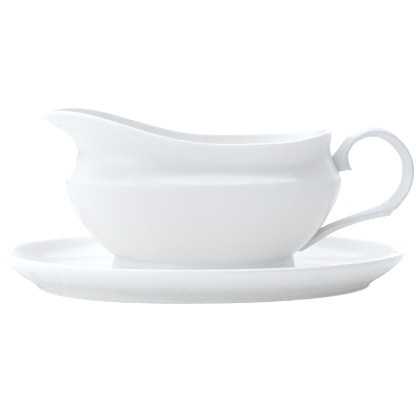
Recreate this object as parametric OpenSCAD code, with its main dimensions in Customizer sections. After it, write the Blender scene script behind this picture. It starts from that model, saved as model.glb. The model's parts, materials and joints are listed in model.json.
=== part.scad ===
// Gravy boat on an oval saucer, in glazed white porcelain.
// The boat is one hollow casting: bowl, pouring lip and foot. A loop handle, cast by
// itself, is luted to it at the shoulder and along the lower bowl. The boat stands
// loose in the saucer's well and lifts straight off.
// Millimetres. +Z is up, +X points from the lip to the handle, and the origin is on the
// table under the middle of the saucer's foot ring.

/* [Boat] */
// Half the length of the boat at its shoulder ridge
shoulder_half_length = 82.3; // [79:0.1:85]
// Half the width of the boat at its shoulder ridge
shoulder_half_width = 45.8; // [43:0.1:49]
// Height of the shoulder ridge above the table
shoulder_z = 63.3; // [61.5:0.1:65]
// Height of the rim above the table, at its lowest point beside the bowl
rim_low_z = 85.8; // [83:0.1:88]
// How much higher the rim is at the crest of the pouring lip
lip_crest_rise = 17.5; // [14:0.1:20]
// How far the lip's very tip droops below that crest
lip_droop = 2.8; // [0:0.1:4]
// How much higher the rim is at the handle end
heel_rise = 6.3; // [5:0.1:8]
// Thickness of the boat's wall
boat_wall = 3.2; // [2.6:0.1:3.6]
// Thickness of the wall at the rim
rim_wall = 2.5; // [2:0.1:3]

/* [Boat foot] */
// Half the length of the crease between foot and bowl
crease_half_length = 53.2; // [50:0.1:56]
// Half the width of the crease between foot and bowl
crease_half_width = 37; // [35:0.1:39]
// Height of the crease above the table
crease_z = 18.2; // [17:0.1:19]
// How far the foot flares out below the crease
foot_flare = 2.2; // [1:0.1:3]

/* [Saucer] */
// Half the length of the saucer over its rim
saucer_half_length = 120.5; // [119:0.1:122]
// Half the width of the saucer over its rim
saucer_half_width = 85.5; // [85.2:0.1:87]
// Half the length of the saucer's foot ring
ring_half_length = 99.8; // [98.5:0.1:100.5]
// Half the width of the saucer's foot ring
ring_half_width = 70.5; // [69:0.1:70.9]
// Height of the well floor above the table
well_z = 6.4; // [6:0.1:6.8]
// Thickness of the saucer's floor
saucer_floor = 3.6; // [3.2:0.1:4]

/* [Hidden] */

seat_gap = 0.05;       // the boat's foot stands this far above the well floor
oval_steps = 72;       // points around each oval ring
bowl_steps = 8;        // rings from the crease to the shoulder
neck_steps = 14;       // rings from the shoulder to the rim
handle_section_steps = 16;
handle_steps = 4;      // rings between two neighbouring stations of the handle

glaze = "white";
foot_z = well_z + seat_gap;
neck_height = rim_low_z - shoulder_z;

// ---- curves and lofts -------------------------------------------------------------

// Value at fraction f between rows b and c of a smooth curve that also knows a and d.
function smooth_between(a, b, c, d, f) =
    b + 0.5 * f * ((c - a) + f * ((2 * a - 5 * b + 4 * c - d) + f * (3 * b - a - 3 * c + d)));

// Row number n of a key list, carried straight on past either end.
function key(keys, n) =
    let (last = len(keys) - 1)
    n < 0 ? 2 * keys[0] - keys[1] : n > last ? 2 * keys[last] - keys[last - 1] : keys[n];

// Smooth curve through the key rows at position u, which counts rows from 0.
function curve_at(keys, u) =
    let (n = min(floor(u), len(keys) - 2))
    smooth_between(key(keys, n - 1), keys[n], keys[n + 1], key(keys, n + 2), u - n);

// A row of numbers for each of `steps` equal steps along a key list, both ends included.
function curve_rows(keys, steps) =
    [for (i = [0:steps]) curve_at(keys, i * (len(keys) - 1) / steps)];

// Closed solid through a list of rings with equal point counts, capped at both ends.
module loft(rings) {
    count = len(rings[0]);
    last = len(rings) - 1;
    points = [for (ring = rings) for (p = ring) p];
    sides = [for (i = [0:last - 1]) for (j = [0:count - 1])
        let (k = (j + 1) % count, a = i * count, b = a + count)
        each [[a + j, b + j, a + k], [b + j, b + k, a + k]]];
    start_cap = [for (j = [0:count - 1]) j];
    end_cap = [for (j = [count - 1:-1:0]) last * count + j];
    polyhedron(points, concat([start_cap], sides, [end_cap]), convexity = 8);
}

// Share of the half-width left at a share t of the way from the middle to one end of an
// oval. fullness 2 is an ellipse, and more is squarer. point 0 is round, 1 is sharp.
function oval_share(t, fullness, point) =
    let (rest = max(0, 1 - pow(t, fullness)))
    (1 - point) * sqrt(rest) + point * rest;

// Oval around the origin, at one height. fullness is one for each end, lip end first, and
// turn shifts the points along the oval.
function plain_oval(half_length, half_width, fullness, z, turn = 0) =
    [for (i = [0:oval_steps - 1])
        let (a = 360 * i / oval_steps + turn, full = fullness[cos(a) < 0 ? 0 : 1])
        [half_length * cos(a),
         half_width * sign(sin(a)) * oval_share(abs(cos(a)), full, 0), z]];

// ---- boat body --------------------------------------------------------------------

crease_fullness = 2.4;
shoulder_fullness = 2.5;

// The foot's section from the underside to the crease: outset from the crease, height.
foot_section = [
    [-8, foot_z + 5.8], [-4.6, foot_z + 5.2], [-2.4, foot_z + 0.6], [-1.9, foot_z],
    [foot_flare - 0.6, foot_z], [foot_flare, foot_z + 0.6],
    [foot_flare * 0.8, foot_z + 4], [foot_flare * 0.3, foot_z + 8.5],
];

function foot_ring(row) = plain_oval(
    crease_half_length + row[0], crease_half_width + row[0],
    [crease_fullness, crease_fullness], row[1]);

// The bowl swells quickly above the crease and meets the shoulder upright.
function bowl_swell(u) = pow(1 - pow(1 - u, 1.7), 0.87);

function bowl_ring(u) =
    let (
        swell = bowl_swell(u),
        fullness = crease_fullness + (shoulder_fullness - crease_fullness) * u
    )
    plain_oval(
        crease_half_length + (shoulder_half_length - crease_half_length) * swell,
        crease_half_width + (shoulder_half_width - crease_half_width) * swell,
        [fullness, fullness],
        crease_z + (shoulder_z - crease_z) * u);

// Neck and lip from the shoulder (0) to the rim (1): share of the climb, then how far the
// lip end, the handle end and the sides stand outside the shoulder.
neck_keys = [
    [0.00,  0.0,  0.00,  0.0],
    [0.03, -0.2,  0.00, -0.1],
    [0.08, -1.4, -0.35, -0.8],
    [0.17, -4.0, -1.90, -3.1],
    [0.30, -6.5, -4.00, -5.7],
    [0.45, -7.6, -6.10, -7.2],
    [0.60, -6.1, -6.90, -7.3],
    [0.75, -1.1, -6.80, -6.6],
    [0.88,  7.4, -6.50, -5.6],
    [1.00, 12.6, -6.30, -4.8],
];

// The widest station of the neck's ovals moves towards the handle end.
mid_shift = 10;
// Where the lip's crest is, as a share of the way from the widest station to the tip.
crest_at = 0.88;
// More than 1 keeps the rim low beside the bowl and lets it climb late.
lip_slackness = 1.15;
// The same for the climb to the handle end.
heel_slackness = 3.5;
// The lip's plan is pointed, and the handle end of the rim is rather square.
lip_point = 0.6;
rim_fullness = 3.6;

function ease(t) = t * t * (3 - 2 * t);

// Height of the rim above its low point, at a share t of the way to the lip's tip.
function lip_rise(t) =
    lip_crest_rise * ease(pow(min(t / crest_at, 1), lip_slackness))
    - lip_droop * pow(max(0, (t - crest_at) / (1 - crest_at)), 2);

// One ring of the neck. row is a row of neck_keys.
function neck_ring(row) =
    let (
        climb = row[0],
        mid_x = mid_shift * climb,
        lip_x = -shoulder_half_length - row[1],
        heel_x = shoulder_half_length + row[2],
        half_width = shoulder_half_width + row[3],
        fullness = shoulder_fullness + (rim_fullness - shoulder_fullness) * climb,
        point = lip_point * ease(max(0, 2 * climb - 1))
    )
    [for (i = [0:oval_steps - 1])
        let (
            a = 360 * i / oval_steps,
            t = abs(cos(a)),
            at_lip = cos(a) < 0,
            rise = at_lip ? lip_rise(t) : heel_rise * pow(t, heel_slackness)
        )
        [mid_x + ((at_lip ? lip_x : heel_x) - mid_x) * t,
         half_width * sign(sin(a)) * oval_share(t, fullness, at_lip ? point : 0),
         shoulder_z + climb * (neck_height + rise)]];

// Outward unit normal of a grid of rings at ring i, point j.
function unit(v) = v / norm(v);
function grid_normal(grid, i, j) =
    let (
        last = len(grid) - 1,
        count = len(grid[0]),
        along = grid[i][(j + 1) % count] - grid[i][(j + count - 1) % count],
        up = grid[min(i + 1, last)][j] - grid[max(i - 1, 0)][j]
    )
    unit(cross(along, up));

// Ring i of a grid, moved inwards by the wall's thickness.
function inner_ring(grid, i, thickness) =
    [for (j = [0:oval_steps - 1]) grid[i][j] - thickness * grid_normal(grid, i, j)];

// Ring that rounds the rim over: turn goes from 0 at the outside to 180 at the inside.
function rim_ring(outside, inside, below, turn) =
    [for (j = [0:oval_steps - 1])
        let (middle = (outside[j] + inside[j]) / 2, up = unit(outside[j] - below[j]))
        middle + (outside[j] - middle) * cos(turn) + up * rim_wall / 2 * sin(turn)];

// Ring of the floor inside the bowl: the lowest wall ring shrunk to a share of its size.
inner_floor_z = crease_z - 1.8;
floor_flatness = 5;
function floor_ring(wall_ring, share) =
    [for (p = wall_ring)
        [p[0] * share, p[1] * share,
         inner_floor_z + (p[2] - inner_floor_z) * pow(share, floor_flatness)]];

// Outer skin from the crease to the rim.
function boat_skin() = concat(
    [for (i = [0:bowl_steps - 1]) bowl_ring(pow(i / bowl_steps, 1.3))],
    [for (row = curve_rows(neck_keys, neck_steps)) neck_ring(row)]);

module boat_body() {
    skin = boat_skin();
    last = len(skin) - 1;
    lowest_inner = 2;
    inside = [for (i = [last:-1:lowest_inner])
        inner_ring(skin, i, boat_wall + (rim_wall - boat_wall) * pow(i / last, 2))];
    rim = [for (turn = [45, 90, 135]) rim_ring(skin[last], inside[0], skin[last - 1], turn)];
    floor_start = inside[len(inside) - 1];
    floor_rings = [for (share = [0.94, 0.86, 0.75, 0.6, 0.35]) floor_ring(floor_start, share)];
    color(glaze)
        loft(concat([for (row = foot_section) foot_ring(row)], skin, rim, inside, floor_rings));
}

// ---- handle -----------------------------------------------------------------------

// Stations along the handle, from the upper joint round the loop to the tip of the lower
// arm: outer edge x, z, inner edge x, z, half the width across, and how far the ridge along
// each side lies off the middle, from -1 at the inner edge to 1 at the outer. The last
// stations lie inside the boat's wall, where the handle is luted on.
handle_keys = [
    [78.8, 66.7, 89.3, 68.2, 5.2, -0.45],
    [76.8, 70.5, 87.8, 70.8, 5.6, -0.5],
    [75.3, 74.7, 86.7, 74.7, 5.8, -0.5],
    [79.4, 80, 86.9, 78.9, 5, -0.45],
    [86.7, 89.2, 91.6, 84.8, 4.4, -0.2],
    [101.2, 94.2, 101.2, 87.9, 4.4, 0.2],
    [114.4, 89.3, 110.7, 84.1, 4.4, 0.42],
    [123.8, 78.1, 117.6, 75, 4.6, 0.5],
    [126, 65.6, 118.4, 65.1, 4.8, 0.48],
    [123.5, 55.2, 116, 57.3, 4.9, 0.42],
    [116.8, 45.3, 110.6, 51, 4.8, 0.3],
    [113.8, 43.1, 108.7, 49.7, 4.7, 0.2],
    [111.8, 40.4, 106.8, 48.5, 4.6, 0.1],
    [107.7, 39.7, 104.2, 47, 4.4, 0],
    [96.2, 37.4, 94.2, 43.4, 4, -0.2],
    [84.6, 33.5, 81.8, 38.8, 3.7, -0.24],
    [76.8, 30.1, 73.4, 35.4, 3.4, -0.2],
    [68.5, 25.2, 65, 30, 3, -0.1],
    [62, 21.2, 59.2, 25, 2.3, 0],
    [57.8, 19.1, 56.6, 20.9, 1, 0],
];

// The section is a lozenge with soft corners, so a ridge runs along each side.
lozenge_power = 1.5;
function soft(v) = sign(v) * pow(abs(v), lozenge_power);

function handle_ring(row) =
    let (
        middle = [(row[0] + row[2]) / 2, 0, (row[1] + row[3]) / 2],
        reach = [(row[0] - row[2]) / 2, 0, (row[1] - row[3]) / 2],
        across = [0, row[4], 0]
    )
    [for (i = [0:handle_section_steps - 1])
        let (a = 360 * i / handle_section_steps, out = soft(cos(a)))
        middle + reach * (out + row[5] * (1 - out * out)) + across * soft(sin(a))];

module handle() {
    rows = curve_rows(handle_keys, (len(handle_keys) - 1) * handle_steps);
    color(glaze) loft([for (row = rows) handle_ring(row)]);
}

// ---- saucer -----------------------------------------------------------------------

saucer_fullness = [2.25, 2.02];
ring_fullness = [2.6, 2];
ring_width = 3.6;
ring_top = well_z - 0.6; // buried in the dish
underside_z = well_z - saucer_floor;

// The dish's section from the underside over the rim to the well: how far inside the rim,
// height.
dish_section = [
    [30, underside_z], [22.5, underside_z], [20.8, 2.1], [19.3, 2.5],
    [16, 4.7], [12.1, 7.0], [9, 9.1], [6.3, 11.2], [3.9, 13.5], [1.9, 15.7],
    [0.5, 17.8], [0, 19.6], [0.2, 20.7], [1, 21.4], [2.6, 21.4], [3.8, 20.6],
    [4.7, 18.9], [6.2, 16.2], [8.6, 13.2], [12, 10.6], [16.4, 8.5], [21.5, 7.2],
    [27, well_z + 0.2], [32, well_z],
];

function dish_ring(row) = plain_oval(
    saucer_half_length - row[0], saucer_half_width - row[0], saucer_fullness, row[1]);

// Flat outline of the foot ring, set in by the given amount. Its points lie between the
// dish's, so that no edge of one runs along an edge of the other.
module ring_outline(inset) {
    outline = plain_oval(
        ring_half_length - inset, ring_half_width - inset, ring_fullness, 0, 180 / oval_steps);
    polygon([for (p = outline) [p[0], p[1]]]);
}

module saucer() {
    color(glaze) {
        union() {
            loft([for (row = dish_section) dish_ring(row)]);
            linear_extrude(ring_top)
                difference() {
                    ring_outline(0);
                    ring_outline(ring_width);
                }
        }
    }
}

boat_body();
handle();
saucer();
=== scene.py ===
"""Looks of a gravy boat on an oval saucer, in glazed white porcelain.

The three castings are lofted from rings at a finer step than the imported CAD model, each one is
fitted to its CAD node's box, and one porcelain material is built from nodes for each of them.
The section tables are in millimetres and everything that reaches Blender is in metres.
"""

import json
import math

import bpy
import numpy as np
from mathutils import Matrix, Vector
from mathutils.bvhtree import BVHTree


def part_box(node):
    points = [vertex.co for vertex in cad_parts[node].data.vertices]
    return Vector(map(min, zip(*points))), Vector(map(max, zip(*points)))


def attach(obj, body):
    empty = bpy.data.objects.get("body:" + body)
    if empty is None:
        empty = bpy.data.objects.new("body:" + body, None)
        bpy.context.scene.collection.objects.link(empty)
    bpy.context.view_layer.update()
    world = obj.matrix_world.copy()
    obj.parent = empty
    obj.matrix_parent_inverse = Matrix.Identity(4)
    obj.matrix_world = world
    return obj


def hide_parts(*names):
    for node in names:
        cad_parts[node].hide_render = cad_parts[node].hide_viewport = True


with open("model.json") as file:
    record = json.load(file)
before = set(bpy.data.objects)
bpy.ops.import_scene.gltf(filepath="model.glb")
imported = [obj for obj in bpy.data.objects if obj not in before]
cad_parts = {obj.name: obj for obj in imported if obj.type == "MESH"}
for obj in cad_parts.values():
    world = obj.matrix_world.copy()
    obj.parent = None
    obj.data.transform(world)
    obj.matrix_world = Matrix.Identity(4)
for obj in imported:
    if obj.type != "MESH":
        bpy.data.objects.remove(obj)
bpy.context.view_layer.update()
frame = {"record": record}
scene = bpy.context.scene

MM = 0.001
OVAL_STEPS = 256  # points around each oval ring


# ---- curves ---------------------------------------------------------------------------------


def curve_rows(keys, steps):
    """Rows of a smooth curve through the key rows, `steps` to each gap, both ends included."""
    keys = np.array(keys, float)
    padded = np.vstack([2 * keys[0] - keys[1], keys, 2 * keys[-1] - keys[-2]])
    rows = []
    for n in range(len(keys) - 1):
        a, b, c, d = padded[n : n + 4]
        for i in range(steps):
            f = i / steps
            cubic = (2 * a - 5 * b + 4 * c - d) + f * (3 * b - a - 3 * c + d)
            rows.append(b + 0.5 * f * ((c - a) + f * cubic))
    rows.append(keys[-1])
    return np.array(rows)


def soften(rows, passes):
    """Averages each row with its neighbours, which rounds bends over. The end rows stay."""
    rows = rows.copy()
    for _ in range(passes):
        rows[1:-1] = 0.25 * rows[:-2] + 0.5 * rows[1:-1] + 0.25 * rows[2:]
    return rows


def evenly_spaced(rows, count):
    """Resamples a list of points or rings to `count` of them, at even distances."""
    steps = np.linalg.norm(np.diff(rows, axis=0), axis=-1)
    if steps.ndim > 1:
        steps = steps.mean(axis=1)
    along = np.concatenate([[0], np.cumsum(steps)])
    wanted = np.linspace(0, along[-1], count)
    flat = rows.reshape(len(rows), -1)
    columns = [np.interp(wanted, along, flat[:, k]) for k in range(flat.shape[1])]
    return np.stack(columns, axis=1).reshape((count,) + rows.shape[1:])


def section_rows(keys, steps, count, softness):
    """A section table as a smooth, evenly spaced and slightly rounded list of rows."""
    return soften(evenly_spaced(curve_rows(keys, steps), count), softness)


def shrunk(ring, shares):
    """Copies of a ring, each drawn in level towards the middle to a share of its size."""
    return [ring * np.array([share, share, 1]) for share in shares]


def ease(t):
    return t * t * (3 - 2 * t)


def oval_share(t, fullness, point=0.0):
    """Share of the half-width left at a share t of the way to one end of an oval."""
    rest = np.maximum(0, 1 - t**fullness)
    return (1 - point) * np.sqrt(rest) + point * rest


def oval_angles(count=OVAL_STEPS):
    """Cosines and sines all the way round, with true zeros at the two ends."""
    angles = 2 * math.pi * np.arange(count) / count
    cos, sin = np.cos(angles), np.sin(angles)
    sin[np.abs(sin) < 1e-9] = 0
    return cos, sin


def plain_oval(half_length, half_width, fullness, z):
    """Level oval ring. fullness is one for each end, lip end first."""
    cos, sin = oval_angles()
    full = np.where(cos < 0, fullness[0], fullness[1])
    y = half_width * np.sign(sin) * oval_share(np.abs(cos), full)
    return np.stack([half_length * cos, y, np.full_like(cos, z)], axis=1)


# ---- boat -----------------------------------------------------------------------------------

SHOULDER_HALF_LENGTH = 82.3
SHOULDER_HALF_WIDTH = 45.8
SHOULDER_Z = 63.3
SHOULDER_FULLNESS = 2.5
NECK_HEIGHT = 22.5
CREASE_HALF_LENGTH = 53.2
CREASE_HALF_WIDTH = 37.0
CREASE_Z = 18.2
CREASE_FULLNESS = 2.4
BOAT_WALL = 3.2
RIM_WALL = 2.5
RIM_RISE = 1.35  # height of the rounded rim
RIM_CHAMFER = 1.1  # 1 is round, and more bevels it
RIM_TURNS = np.radians(np.arange(10, 180, 10))  # from the outside over to the inside
FOOT_Z = 6.45
FOOT_BARE_HEIGHT = 0.35  # the glaze stops this far above the foot's bottom edge
INNER_FLOOR_Z = CREASE_Z - 1.8
INNER_FLOOR_FLATNESS = 5

# Section of the foot from the middle of its underside to the crease: outset from the crease, z.
FOOT_SECTION = [
    [-14, FOOT_Z + 6.2],
    [-8, FOOT_Z + 5.9],
    [-4.8, FOOT_Z + 5.0],
    [-3.0, FOOT_Z + 2.2],
    [-2.4, FOOT_Z + 0.6],
    [-1.7, FOOT_Z],
    [-0.4, FOOT_Z],
    [1.3, FOOT_Z],
    [2.05, FOOT_Z + 0.4],
    [2.2, FOOT_Z + 1.2],
    [1.8, FOOT_Z + 4],
    [1.3, FOOT_Z + 6.4],
    [0.7, FOOT_Z + 8.8],
    [0.2, FOOT_Z + 10.6],
]

# Neck and lip from the shoulder (0) to the rim (1): share of the climb, then how far the lip
# end, the handle end and the sides stand outside the shoulder.
NECK_KEYS = [
    [0.00, 0.0, 0, 0.0],
    [0.03, -0.2, 0, -0.1],
    [0.08, -1.4, -0.35, -0.8],
    [0.17, -4.0, -1.9, -3.1],
    [0.30, -6.5, -4.0, -5.7],
    [0.45, -7.6, -6.1, -7.2],
    [0.60, -6.1, -6.9, -7.3],
    [0.75, -1.1, -6.8, -6.6],
    [0.88, 7.4, -6.5, -5.6],
    [1.00, 12.6, -6.3, -4.8],
]
MID_SHIFT = 10.0  # how far the widest station moves to the handle end by the rim
LIP_CREST_RISE = 17.5
LIP_CREST_AT = 0.88  # share of the way from the widest station to the lip's tip
LIP_SLACKNESS = 1.15  # more than 1 keeps the rim low beside the bowl and lets it climb late
LIP_DROOP = 2.8  # from the crest to the tip
LIP_POINT = 0.6  # of the rim's plan: 0 is round, 1 is sharp
HEEL_RISE = 6.3
HEEL_SLACKNESS = 3.5
RIM_FULLNESS = 3.6

# Less than 1 makes the bowl swell quickly above the crease, and more than 1 makes it meet the
# shoulder upright.
CREASE_POWER = 0.87
SHOULDER_POWER = 1.7

# Numbers of rings, and how often they are averaged to round them over.
BOWL_RINGS = 120
BOWL_CROWDING = 1.3  # more than 1 sets the bowl's rings closer together near the crease
NECK_STEPS = 16
SKIN_RINGS = 150
SKIN_SOFTNESS = 3
END_SOFTNESS = 24  # at the lip end and the handle end
INSIDE_RINGS = 100
INSIDE_SOFTNESS = 5
INSIDE_LOWEST = 15  # the skin's lowest ring that the inside follows


def bowl_ring(u):
    """One ring of the bowl, at a share u of the way from the crease up to the shoulder."""
    swell = (1 - (1 - u) ** SHOULDER_POWER) ** CREASE_POWER
    full = CREASE_FULLNESS + (SHOULDER_FULLNESS - CREASE_FULLNESS) * u
    return plain_oval(
        CREASE_HALF_LENGTH + (SHOULDER_HALF_LENGTH - CREASE_HALF_LENGTH) * swell,
        CREASE_HALF_WIDTH + (SHOULDER_HALF_WIDTH - CREASE_HALF_WIDTH) * swell,
        (full, full),
        CREASE_Z + (SHOULDER_Z - CREASE_Z) * u,
    )


def lip_rise(t):
    """Height of the rim above its low point, at a share t of the way to the lip's tip."""
    climbed = ease(np.minimum(t / LIP_CREST_AT, 1) ** LIP_SLACKNESS)
    past_crest = np.maximum(0, (t - LIP_CREST_AT) / (1 - LIP_CREST_AT))
    return LIP_CREST_RISE * climbed - LIP_DROOP * past_crest**2


def neck_ring(row):
    """One ring of the neck, from a row of NECK_KEYS."""
    climb, lip_out, heel_out, side_out = row
    cos, sin = oval_angles()
    t = np.abs(cos)
    at_lip = cos < 0
    mid_x = MID_SHIFT * climb
    end_x = np.where(at_lip, -SHOULDER_HALF_LENGTH - lip_out, SHOULDER_HALF_LENGTH + heel_out)
    full = SHOULDER_FULLNESS + (RIM_FULLNESS - SHOULDER_FULLNESS) * climb
    point = np.where(at_lip, LIP_POINT * ease(max(0.0, 2 * climb - 1)), 0.0)
    rise = np.where(at_lip, lip_rise(t), HEEL_RISE * t**HEEL_SLACKNESS)
    x = mid_x + (end_x - mid_x) * t
    y = (SHOULDER_HALF_WIDTH + side_out) * np.sign(sin) * oval_share(t, full, point)
    return np.stack([x, y, SHOULDER_Z + climb * (NECK_HEIGHT + rise)], axis=1)


def grid_normals(grid):
    """Outward unit normals of a grid of rings, by differences along and across the rings."""
    along = np.roll(grid, -1, axis=1) - np.roll(grid, 1, axis=1)
    up = np.gradient(grid, axis=0)
    normal = np.cross(along, up)
    return normal / np.linalg.norm(normal, axis=-1, keepdims=True)


def outer_skin():
    """The boat's outside from the crease to the rim. Its bends are softer at the two ends."""
    bowl = [bowl_ring((i / BOWL_RINGS) ** BOWL_CROWDING) for i in range(BOWL_RINGS)]
    neck = [neck_ring(row) for row in curve_rows(NECK_KEYS, NECK_STEPS)]
    rings = evenly_spaced(np.array(bowl + neck), SKIN_RINGS)
    crisp = soften(rings, SKIN_SOFTNESS)
    rounded = soften(rings, END_SOFTNESS)
    cos, _ = oval_angles()
    last_third = np.clip(np.abs(cos) * 3 - 2, 0, 1)
    return crisp + (rounded - crisp) * ease(last_third)[:, None]


def inner_skin(skin):
    """The inside, from the rim down to where the floor starts."""
    share = np.linspace(0, 1, len(skin))[:, None, None]
    wall = BOAT_WALL + (RIM_WALL - BOAT_WALL) * share**2
    inside = skin - wall * grid_normals(skin)
    downwards = inside[INSIDE_LOWEST:][::-1]
    return soften(evenly_spaced(downwards, INSIDE_RINGS), INSIDE_SOFTNESS)


def rim_rings(skin, inside):
    """Half round from the outside of the rim over to its inside."""
    top, under = skin[-1], skin[-2]
    middle = (top + inside[0]) / 2
    up = (top - under) / np.linalg.norm(top - under, axis=1, keepdims=True)
    rings = []
    for turn in RIM_TURNS:
        across = math.copysign(abs(math.cos(turn)) ** RIM_CHAMFER, math.cos(turn))
        rise = math.sin(turn) ** RIM_CHAMFER
        rings.append(middle + (top - middle) * across + up * RIM_RISE * rise)
    return rings


def floor_rings(wall_ring):
    """The floor inside the bowl, from the lowest ring of the wall to near the middle."""
    rings = []
    for share in np.linspace(0.98, 0.04, 34):
        climb = wall_ring[:, 2] - INNER_FLOOR_Z
        z = INNER_FLOOR_Z + climb * share**INNER_FLOOR_FLATNESS
        rings.append(np.stack([wall_ring[:, 0] * share, wall_ring[:, 1] * share, z], axis=1))
    return rings


def foot_oval(outset, z):
    full = (CREASE_FULLNESS, CREASE_FULLNESS)
    return plain_oval(CREASE_HALF_LENGTH + outset, CREASE_HALF_WIDTH + outset, full, z)


def foot_rings():
    """The foot, from the middle of its underside to the crease."""
    rings = [foot_oval(*row) for row in section_rows(FOOT_SECTION, 12, 64, 1)]
    return shrunk(rings[0], np.linspace(0.05, 0.95, 12)) + rings


def boat_rings():
    """The whole casting: foot, outside, rim, and the inside down to the floor's middle."""
    skin = outer_skin()
    inside = inner_skin(skin)
    hollow = soften(np.concatenate([inside, floor_rings(inside[-1])]), 2)
    return np.concatenate([foot_rings(), skin, rim_rings(skin, inside), hollow])


# ---- handle ---------------------------------------------------------------------------------

# Stations from the upper joint round the loop to the tip of the lower arm: outer edge x, z,
# inner edge x, z, half the width across, and how far the ridge along each side lies off the
# middle, from -1 at the inner edge to 1 at the outer.
HANDLE_KEYS = [
    [78.8, 66.7, 89.3, 68.2, 5.2, -0.45],
    [76.8, 70.5, 87.8, 70.8, 5.6, -0.5],
    [75.3, 74.7, 86.7, 74.7, 5.8, -0.5],
    [79.4, 80, 86.9, 78.9, 5, -0.45],
    [86.7, 89.2, 91.6, 84.8, 4.4, -0.2],
    [101.2, 94.2, 101.2, 87.9, 4.4, 0.2],
    [114.4, 89.3, 110.7, 84.1, 4.4, 0.42],
    [123.8, 78.1, 117.6, 75, 4.6, 0.5],
    [126, 65.6, 118.4, 65.1, 4.8, 0.48],
    [123.5, 55.2, 116, 57.3, 4.9, 0.42],
    [116.8, 45.3, 110.6, 51, 4.8, 0.3],
    [113.8, 43.1, 108.7, 49.7, 4.7, 0.2],
    [111.8, 40.4, 106.8, 48.5, 4.6, 0.1],
    [107.7, 39.7, 104.2, 47, 4.4, 0],
    [96.2, 37.4, 94.2, 43.4, 4, -0.2],
    [84.6, 33.5, 81.8, 38.8, 3.7, -0.24],
    [76.8, 30.1, 73.4, 35.4, 3.4, -0.2],
    [68.5, 25.2, 65, 30, 3, -0.1],
    [62, 21.2, 59.2, 25, 2.3, 0],
    [57.8, 19.1, 56.6, 20.9, 1, 0],
]
HANDLE_SECTION_STEPS = 48
HANDLE_STEPS = 12  # rings from one station to the next
HANDLE_SOFTNESS = 3
LOZENGE_POWER = 1.5  # 1 is an ellipse, and 2 has flat sides and sharp corners
BASE_HOLLOW = 1.0  # how far the handle's upper end is hollowed at its start
BASE_RINGS = 24  # rings over which that hollow fades out
START_CAP_DEPTH = 0.3
END_CAP_DEPTH = 0.2


def handle_ring(row, hollow):
    """Section of the handle at one station. hollow bows it up between its edges."""
    outer_x, outer_z, inner_x, inner_z, half_width, ridge = row
    outer = np.array([outer_x, 0, outer_z])
    inner = np.array([inner_x, 0, inner_z])
    across = np.array([0, half_width, 0])
    cos, sin = oval_angles(HANDLE_SECTION_STEPS)
    reach = np.sign(cos) * np.abs(cos) ** LOZENGE_POWER
    side = np.sign(sin) * np.abs(sin) ** LOZENGE_POWER
    reach = reach + ridge * (1 - reach**2)
    ring = (outer + inner) / 2 + reach[:, None] * (outer - inner) / 2 + side[:, None] * across
    ring[:, 2] += hollow * (1 - reach**2)
    return ring


def rounded_end(ring, inward, depth):
    """Rings that close an end, from its middle out to the given ring."""
    middle = ring.mean(axis=0)
    rings = []
    for share in (0.08, 0.25, 0.45, 0.65, 0.8, 0.9, 0.96):
        bulge = inward * depth * math.sqrt(1 - share**2)
        rings.append(middle + (ring - middle) * share - bulge)
    return rings


def inward_at(ring, next_ring):
    """Unit direction from an end ring to its neighbour."""
    step = next_ring.mean(axis=0) - ring.mean(axis=0)
    return step / np.linalg.norm(step)


def handle_rings():
    rows = soften(curve_rows(HANDLE_KEYS, HANDLE_STEPS), HANDLE_SOFTNESS)
    hollows = BASE_HOLLOW * np.maximum(0, 1 - np.arange(len(rows)) / BASE_RINGS) ** 2
    body = [handle_ring(row, hollow) for row, hollow in zip(rows, hollows)]
    start_cap = rounded_end(body[0], inward_at(body[0], body[1]), START_CAP_DEPTH)
    end_cap = rounded_end(body[-1], inward_at(body[-1], body[-2]), END_CAP_DEPTH)[::-1]
    return np.array(start_cap + body + end_cap)


# ---- saucer ---------------------------------------------------------------------------------

SAUCER_HALF_LENGTH = 120.5
SAUCER_HALF_WIDTH = 85.5
SAUCER_FULLNESS = (2.25, 2.02)
RING_HALF_LENGTH = 99.8
RING_HALF_WIDTH = 70.5
RING_FULLNESS = (2.6, 2.0)
RING_BARE_HEIGHT = 0.3  # the glaze stops this far above the foot ring's bottom edge

# How the dish's side runs into the foot ring: how widely the two blend along and across the
# saucer, how far the ring stays behind at its sides, and the height over which the outline
# changes from one fullness to the other, in distances inside the rim.
BLEND_ALONG = 0.3
BLEND_ACROSS = 2.5
RING_SIDE_SETBACK = 0.4
FULLNESS_BLEND = 8

# Section of the foot ring, from the dish's underside over its inside and bottom edge to its
# outside: how far inside its outline, z.
RING_SECTION = [
    [18, 2.8],
    [9, 2.8],
    [5.2, 2.7],
    [4.0, 2.0],
    [3.6, 0.7],
    [3.1, 0.05],
    [1.8, 0],
    [0.6, 0.05],
    [0.05, 0.6],
    [0, 1.2],
    [0, 2.0],
]

# Sections of the dish: how far inside the rim, z. The side runs from the ring up to the rim's
# widest line, and the inside runs from there over the rim to the well.
DISH_SIDE = [
    [20.2, 2.1],
    [19.3, 2.5],
    [16, 4.7],
    [12.1, 7.0],
    [9, 9.1],
    [6.3, 11.2],
    [3.9, 13.5],
    [1.9, 15.7],
    [0.5, 17.8],
    [0, 19.6],
]
DISH_INSIDE = [
    [0, 19.6],
    [0.2, 20.7],
    [1, 21.4],
    [2.6, 21.4],
    [3.8, 20.6],
    [4.7, 18.9],
    [6.2, 16.2],
    [8.6, 13.2],
    [12, 10.6],
    [16.4, 8.5],
    [21.5, 7.2],
    [27, 6.6],
    [32, 6.4],
    [37, 6.4],
]


def soft_max(a, b, width):
    """The larger of two numbers, or a little more where they are closer than about a width."""
    return (a + b + math.sqrt((a - b) ** 2 + width**2)) / 2


def ring_oval(inset, z):
    return plain_oval(RING_HALF_LENGTH - inset, RING_HALF_WIDTH - inset, RING_FULLNESS, z)


def dish_oval(inset, z):
    return plain_oval(SAUCER_HALF_LENGTH - inset, SAUCER_HALF_WIDTH - inset, SAUCER_FULLNESS, z)


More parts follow.
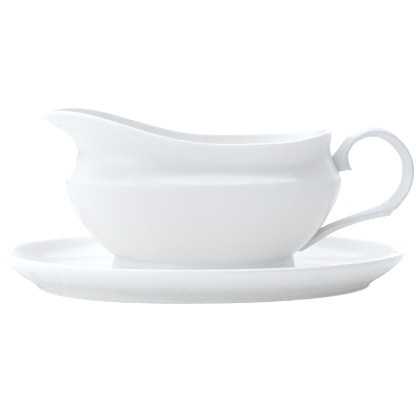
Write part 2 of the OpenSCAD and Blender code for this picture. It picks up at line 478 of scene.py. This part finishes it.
def side_oval(inset, z):
    """Outline of the saucer's side: the dish's, or the foot ring's where that stands out more."""
    length = soft_max(SAUCER_HALF_LENGTH - inset, RING_HALF_LENGTH, BLEND_ALONG)
    ring_width = RING_HALF_WIDTH - RING_SIDE_SETBACK
    width = soft_max(SAUCER_HALF_WIDTH - inset, ring_width, BLEND_ACROSS)
    share = min(1.0, (DISH_SIDE[0][0] - inset) / FULLNESS_BLEND)
    full = [ring + (dish - ring) * share for ring, dish in zip(RING_FULLNESS, SAUCER_FULLNESS)]
    return plain_oval(length, width, full, z)


def saucer_rings():
    """From the underside's middle over the foot ring, the side and the rim to the well's."""
    rings = [ring_oval(*row) for row in section_rows(RING_SECTION, 8, 60, 1)]
    rings += [side_oval(*row) for row in section_rows(DISH_SIDE, 10, 60, 2)]
    rings += [dish_oval(*row) for row in section_rows(DISH_INSIDE, 10, 90, 2)[1:]]
    under = shrunk(rings[0], np.linspace(0.05, 0.95, 14))
    well = shrunk(rings[-1], np.linspace(0.97, 0.03, 24))
    return np.array(under + rings + well)


# ---- meshes ---------------------------------------------------------------------------------

POOLING_SOFTNESS = 4
LUTING_RADIUS = 0.0009  # metres, of the fillet of clay round the handle's joints


def fitted(rings, node):
    """The rings in metres, stretched so that their box is the CAD node's."""
    low, high = (np.array(corner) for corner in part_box(node))
    own_low, own_high = rings.min(axis=(0, 1)), rings.max(axis=(0, 1))
    return low + (rings - own_low) * (high - low) / (own_high - own_low)


def loft_faces(ring_count, size):
    """Quads between neighbouring rings, and a fan from each end ring to its middle point."""
    faces = []
    for i in range(ring_count - 1):
        for j in range(size):
            k = (j + 1) % size
            faces.append((i * size + j, i * size + k, (i + 1) * size + k, (i + 1) * size + j))
    first_middle = ring_count * size
    last = (ring_count - 1) * size
    for j in range(size):
        k = (j + 1) % size
        faces.append((first_middle, k, j))
        faces.append((first_middle + 1, last + j, last + k))
    return faces


def glaze_pooling(rings):
    """How hollow the surface is from ring to ring at each point, per millimetre: above 0 where
    glaze pools, below 0 on edges."""
    normals = grid_normals(rings)
    across = np.zeros_like(rings)
    across[1:-1] = (rings[2:] + rings[:-2]) / 2 - rings[1:-1]
    step = np.zeros(rings.shape[:2])
    step[1:-1] = np.linalg.norm(rings[2:] - rings[:-2], axis=-1) / 2
    hollow = np.einsum("ijk,ijk->ij", across, normals) / np.maximum(step, 1e-5) ** 2
    return soften(np.clip(hollow * MM, -1, 1), POOLING_SOFTNESS)


def make_piece(name, rings, bare_below):
    """Mesh object from a stack of rings, with the values its material reads at each point. It is
    unglazed below the given height."""
    count, size = rings.shape[:2]
    middles = np.array([rings[0].mean(axis=0), rings[-1].mean(axis=0)])
    points = np.concatenate([rings.reshape(-1, 3), middles])
    mesh = bpy.data.meshes.new(name)
    mesh.from_pydata(points.tolist(), [], loft_faces(count, size))
    mesh.polygons.foreach_set("use_smooth", [True] * len(mesh.polygons))
    pooling = np.append(glaze_pooling(rings).ravel(), [0, 0])
    bare = (points[:, 2] < bare_below).astype(float)
    for label, values in (("glaze_pool", pooling), ("bare_clay", bare)):
        attribute = mesh.attributes.new(label, "FLOAT", "POINT")
        attribute.data.foreach_set("value", values.astype(np.float32))
    mesh.update()
    piece = bpy.data.objects.new(name, mesh)
    scene.collection.objects.link(piece)
    return piece


def flare_onto(rings, wall):
    """Widens the rings where they come close to a wall, as the clay luting a joint does."""
    tree = BVHTree.FromObject(wall, bpy.context.evaluated_depsgraph_get())
    middles = rings.mean(axis=1, keepdims=True)
    out = rings.copy()
    for i, ring in enumerate(rings):
        for j, point in enumerate(ring):
            spot, normal, _, _ = tree.find_nearest(Vector(point))
            height = (Vector(point) - spot).dot(normal)
            if height > LUTING_RADIUS:
                continue
            share = 1 - max(0.0, height) / LUTING_RADIUS
            away = Vector(point - middles[i, 0])
            away -= normal * away.dot(normal)
            if away.length > 1e-6:
                spread = LUTING_RADIUS * (1 - math.sqrt(1 - share * share))
                out[i, j] = point + np.array(away.normalized() * spread)
    return out


# ---- materials ------------------------------------------------------------------------------


class Nodes:
    """Short ways to add and join shader nodes."""

    def __init__(self, tree):
        self.tree = tree
        tree.nodes.clear()

    def add(self, kind, inputs=None, **settings):
        node = self.tree.nodes.new(kind)
        for label, value in settings.items():
            setattr(node, label, value)
        for label, value in (inputs or {}).items():
            self.put(node.inputs[label], value)
        return node

    def put(self, socket, value):
        if isinstance(value, bpy.types.NodeSocket):
            self.tree.links.new(value, socket)
        else:
            socket.default_value = value

    def noise(self, scale, detail, roughness=0.5):
        place = self.add("ShaderNodeTexCoord").outputs["Object"]
        values = {"Vector": place, "Scale": scale, "Detail": detail, "Roughness": roughness}
        return self.add("ShaderNodeTexNoise", values).outputs["Fac"]

    def span(self, value, low, high, to_low, to_high):
        """Maps a value from low..high to to_low..to_high, and holds it there outside."""
        values = {1: low, 2: high, 3: to_low, 4: to_high, 0: value}
        return self.add("ShaderNodeMapRange", values).outputs["Result"]

    def math(self, kind, *values):
        return self.add("ShaderNodeMath", dict(enumerate(values)), operation=kind).outputs[0]

    def mix(self, share, first, second):
        """Colour between the first and the second."""
        node = self.add("ShaderNodeMix", data_type="RGBA")
        self.put(node.inputs[0], share)
        self.put(node.inputs[6], first)
        self.put(node.inputs[7], second)
        return node.outputs[2]

    def value_of(self, label):
        """Value stored under this name at the mesh's points."""
        return self.add("ShaderNodeAttribute", attribute_name=label).outputs["Fac"]


BODY_WHITE = (0.93, 0.922, 0.905, 1)
WARM_WHITE = (0.94, 0.93, 0.91, 1)
THIN_GLAZE = (0.985, 0.98, 0.97, 1)
POOLED_GLAZE = (0.875, 0.885, 0.88, 1)
BARE_CLAY = (0.80, 0.77, 0.71, 1)
DARK_CLAY = (0.70, 0.67, 0.61, 1)
# Painted shade: the grey that a whole piece's colour is mixed towards where it takes less light.
PAINTED_SHADE_GREY = (0.72, 0.72, 0.735, 1)

# Noise scales, in repeats per metre.
CLOUD_SCALE = 14
SPECK_SCALE = 900
CLAY_SCALE = 1500
MATTNESS_SCALE = 30
PEEL_SCALE = 420
GRAIN_SCALE = 2600

# Heights of the relief, in metres.
WAVE_HEIGHT = 0.00018
PEEL_HEIGHT = 0.0000045
GRAIN_HEIGHT = 0.00006

PORCELAIN_IOR = 1.5
CLAY_ROUGHNESS = 0.75


def glaze_colour(n, bare, painted_shade):
    """White with faint clouds and specks, whiter on edges, greyer in hollows, bare on the feet,
    and darkened all over by painted shade on a piece that takes less light than the others.
    """
    pool = n.value_of("glaze_pool")
    cloud = n.noise(CLOUD_SCALE, 3)
    speck = n.noise(SPECK_SCALE, 2, 0.7)
    thin = n.span(pool, -0.15, 0, 1, 0)
    thick = n.span(pool, 0, 0.2, 0, 0.7)
    colour = n.mix(n.span(cloud, 0.3, 0.7, 0, 0.5), BODY_WHITE, WARM_WHITE)
    colour = n.mix(thin, colour, THIN_GLAZE)
    colour = n.mix(thick, colour, POOLED_GLAZE)
    colour = n.mix(n.span(speck, 0.68, 0.8, 0, 0.08), colour, POOLED_GLAZE)
    clay = n.mix(n.noise(CLAY_SCALE, 4, 0.8), BARE_CLAY, DARK_CLAY)
    colour = n.mix(bare, colour, clay)
    # Painted shade over the whole piece, by the given share.
    return n.mix(painted_shade, colour, PAINTED_SHADE_GREY)


def glaze_relief(n, bare, wave_scale):
    """Normals of long waves and a fine orange peel in the glaze, and grain in the bare clay."""
    waves = n.math("MULTIPLY", n.noise(wave_scale, 1), WAVE_HEIGHT)
    peel = n.math("MULTIPLY", n.noise(PEEL_SCALE, 2), PEEL_HEIGHT)
    grain = n.math("MULTIPLY", n.math("MULTIPLY", n.noise(GRAIN_SCALE, 3), bare), GRAIN_HEIGHT)
    height = n.math("ADD", n.math("ADD", waves, peel), grain)
    bump = n.add("ShaderNodeBump", {"Height": height, "Distance": 1.0, "Strength": 1.0})
    return bump.outputs["Normal"]


def porcelain(name, wave_scale, painted_shade):
    """Clear glaze over white porcelain. wave_scale sets the size of the glaze's long waves, and
    the last argument darkens the whole piece with painted shade, for a piece that takes less
    light."""
    material = bpy.data.materials.new(name)
    material.use_nodes = True
    n = Nodes(material.node_tree)
    bare = n.value_of("bare_clay")
    mattness = n.span(n.noise(MATTNESS_SCALE, 4), 0.3, 0.7, 0.25, 0.35)
    normal = glaze_relief(n, bare, wave_scale)
    shader = n.add(
        "ShaderNodeBsdfPrincipled",
        {
            "Base Color": glaze_colour(n, bare, painted_shade),
            "Roughness": n.math("MAXIMUM", mattness, n.math("MULTIPLY", bare, CLAY_ROUGHNESS)),
            "IOR": PORCELAIN_IOR,
            "Specular IOR Level": 0.1,
            "Normal": normal,
            "Coat Weight": n.math("SUBTRACT", 1.0, bare),
            "Coat Roughness": 0.03,
            "Coat IOR": PORCELAIN_IOR,
            "Coat Normal": normal,
        },
    )
    n.add("ShaderNodeOutputMaterial", {"Surface": shader.outputs[0]})
    return material


# ---- pieces ---------------------------------------------------------------------------------

boat_bare_below = (FOOT_Z + FOOT_BARE_HEIGHT) * MM
boat = make_piece("boat_casting", fitted(boat_rings(), "boat_body"), boat_bare_below)
saucer = make_piece("saucer_casting", fitted(saucer_rings(), "saucer"), RING_BARE_HEIGHT * MM)
bpy.context.view_layer.update()
luted = flare_onto(fitted(handle_rings(), "handle"), boat)
handle = make_piece("handle_casting", luted, 0)

# Piece, CAD node, body, scale of the glaze's waves, and share of painted shade.
for piece, node, body, wave_scale, painted_shade in (
    (boat, "boat_body", "boat", 26, 0.0),
    # The handle gets painted shade, standing in for the dimmer light that falls on it.
    (handle, "handle", "boat", 60, 0.5),
    (saucer, "saucer", "saucer", 22, 0.0),
):
    subpart = next(part for part in frame["record"]["subparts"] if part["node"] == node)
    piece.data.materials.append(porcelain(subpart["material_slot"], wave_scale, painted_shade))
    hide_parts(node)
    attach(piece, body)


# ---- studio ---------------------------------------------------------------------------------

# Soft glow of the studio's walls: azimuth from the camera's side, turning right, elevation in
# degrees, and strength.
WALL_GLOWS = [
    [0, 8, 0.06],
    [108, 8, 0.84],
    [144, 8, 0.90],
    [180, 8, 1.44],
    [216, 8, 0.35],
    [252, 8, 0.46],
    [288, 8, 0.68],
    [324, 8, 1.92],
    [22, 38, 0.05],
    [112, 38, 0.16],
    [202, 38, 0.15],
    [248, 38, 0.77],
    [338, 38, 0.19],
]
GLOW_TIGHTNESS = 8.0
CAMERA_GLOW = 2.0  # added behind the object for the camera only, and brighter than white

# Softboxes overhead, from front to back: y from, y to, and radiance.
TOP_PANELS = [
    [-1.00, -0.70, 0.13],
    [-0.70, -0.50, 0.76],
    [-0.50, -0.30, 1.19],
    [-0.30, -0.10, 2.35],
    [-0.10, 0.30, 1.75],
    [0.30, 1.00, 1.16],
]
PANEL_LENGTH = 1.32  # along the boat
PANEL_X = 0.04
PANEL_Z = 1.07
COOL_WHITE = (0.965, 1.0, 1.05)

FLOOR_HALF = 8.0
FLOOR_DARK = (0.83, 0.83, 0.83, 1)
FLOOR_PALE = (0.86, 0.86, 0.86, 1)
FLOOR_GRAIN_SCALE = 220
FLOOR_GLOW = 0.085
FLOOR_LIFT = 0.6  # more glow, for the camera only

CAMERA_PLACE = Vector((-0.0446, -1.0390, 0.1664))
CAMERA_AIM = Vector((0.0026, -0.0001, 0.0459))
CAMERA_LENS = 151.9


def direction(azimuth, elevation):
    """Unit vector. Azimuth 0 is towards the camera's side, and both are in degrees."""
    a, e = math.radians(azimuth), math.radians(elevation)
    return Vector((math.sin(a) * math.cos(e), -math.cos(a) * math.cos(e), math.sin(e)))


def floor_material():
    """White paper with a little glow of its own. It is clear from underneath."""
    material = bpy.data.materials.new("white_sweep")
    material.use_nodes = True
    n = Nodes(material.node_tree)
    colour = n.mix(n.noise(FLOOR_GRAIN_SCALE, 3), FLOOR_DARK, FLOOR_PALE)
    paper = n.add("ShaderNodeBsdfDiffuse", {"Color": colour}).outputs[0]
    seen = n.add("ShaderNodeLightPath").outputs["Is Camera Ray"]
    glow = n.math("MULTIPLY_ADD", seen, FLOOR_LIFT, FLOOR_GLOW)
    light = n.add("ShaderNodeEmission", {"Strength": glow}).outputs[0]
    lit = n.add("ShaderNodeAddShader", {0: paper, 1: light}).outputs[0]
    clear = n.add("ShaderNodeBsdfTransparent").outputs[0]
    beneath = n.add("ShaderNodeNewGeometry").outputs["Backfacing"]
    surface = n.add("ShaderNodeMixShader", {0: beneath, 1: lit, 2: clear}).outputs[0]
    n.add("ShaderNodeOutputMaterial", {"Surface": surface})
    return material


def make_floor():
    half = FLOOR_HALF
    mesh = bpy.data.meshes.new("floor")
    corners = [(-half, -half, 0), (half, -half, 0), (half, half, 0), (-half, half, 0)]
    mesh.from_pydata(corners, [], [(0, 1, 2, 3)])
    mesh.materials.append(floor_material())
    floor = bpy.data.objects.new("floor", mesh)
    scene.collection.objects.link(floor)


def make_top_panel(name, y_from, y_to, radiance):
    light = bpy.data.lights.new(name, "AREA")
    light.shape = "RECTANGLE"
    light.size = PANEL_LENGTH
    light.size_y = y_to - y_from
    light.energy = radiance * math.pi * light.size * light.size_y
    light.color = COOL_WHITE
    lamp = bpy.data.objects.new(name, light)
    lamp.location = (PANEL_X, (y_from + y_to) / 2, PANEL_Z)
    lamp.visible_camera = False
    scene.collection.objects.link(lamp)


def make_world():
    """Soft glows from the walls for the object, and plain white where the camera looks."""
    world = bpy.data.worlds.new("studio")
    scene.world = world
    world.use_nodes = True
    n = Nodes(world.node_tree)
    looking = n.add("ShaderNodeTexCoord").outputs["Generated"]
    total = 0.0
    for azimuth, elevation, strength in WALL_GLOWS:
        towards = direction(azimuth, elevation)
        dot = n.add("ShaderNodeVectorMath", {0: looking, 1: towards}, operation="DOT_PRODUCT")
        away = n.math("SUBTRACT", dot.outputs["Value"], 1.0)
        lobe = n.math("EXPONENT", n.math("MULTIPLY", away, GLOW_TIGHTNESS))
        total = n.math("MULTIPLY_ADD", lobe, strength, total)
    seen = n.add("ShaderNodeLightPath").outputs["Is Camera Ray"]
    strength = n.math("ADD", total, n.math("MULTIPLY", seen, CAMERA_GLOW))
    background = n.add("ShaderNodeBackground", {"Color": (*COOL_WHITE, 1), "Strength": strength})
    n.add("ShaderNodeOutputWorld", {"Surface": background.outputs[0]})


def make_camera():
    """A long lens a little above the rim, seeing the boat nearly side on."""
    data = bpy.data.cameras.new("camera")
    data.sensor_width = 36
    data.lens = CAMERA_LENS
    data.clip_start = 0.05
    data.clip_end = 60
    camera = bpy.data.objects.new("camera", data)
    camera.location = CAMERA_PLACE
    camera.rotation_mode = "QUATERNION"
    camera.rotation_quaternion = (CAMERA_AIM - camera.location).to_track_quat("-Z", "Y")
    scene.collection.objects.link(camera)
    scene.camera = camera


make_floor()
make_world()
for number, (y_from, y_to, radiance) in enumerate(TOP_PANELS):
    make_top_panel(f"top_softbox_{number}", y_from, y_to, radiance)
make_camera()
scene.view_settings.view_transform = "Standard"
# Light bounces many times between white surfaces this close before it fades.
scene.cycles.max_bounces = 24
scene.cycles.diffuse_bounces = 12
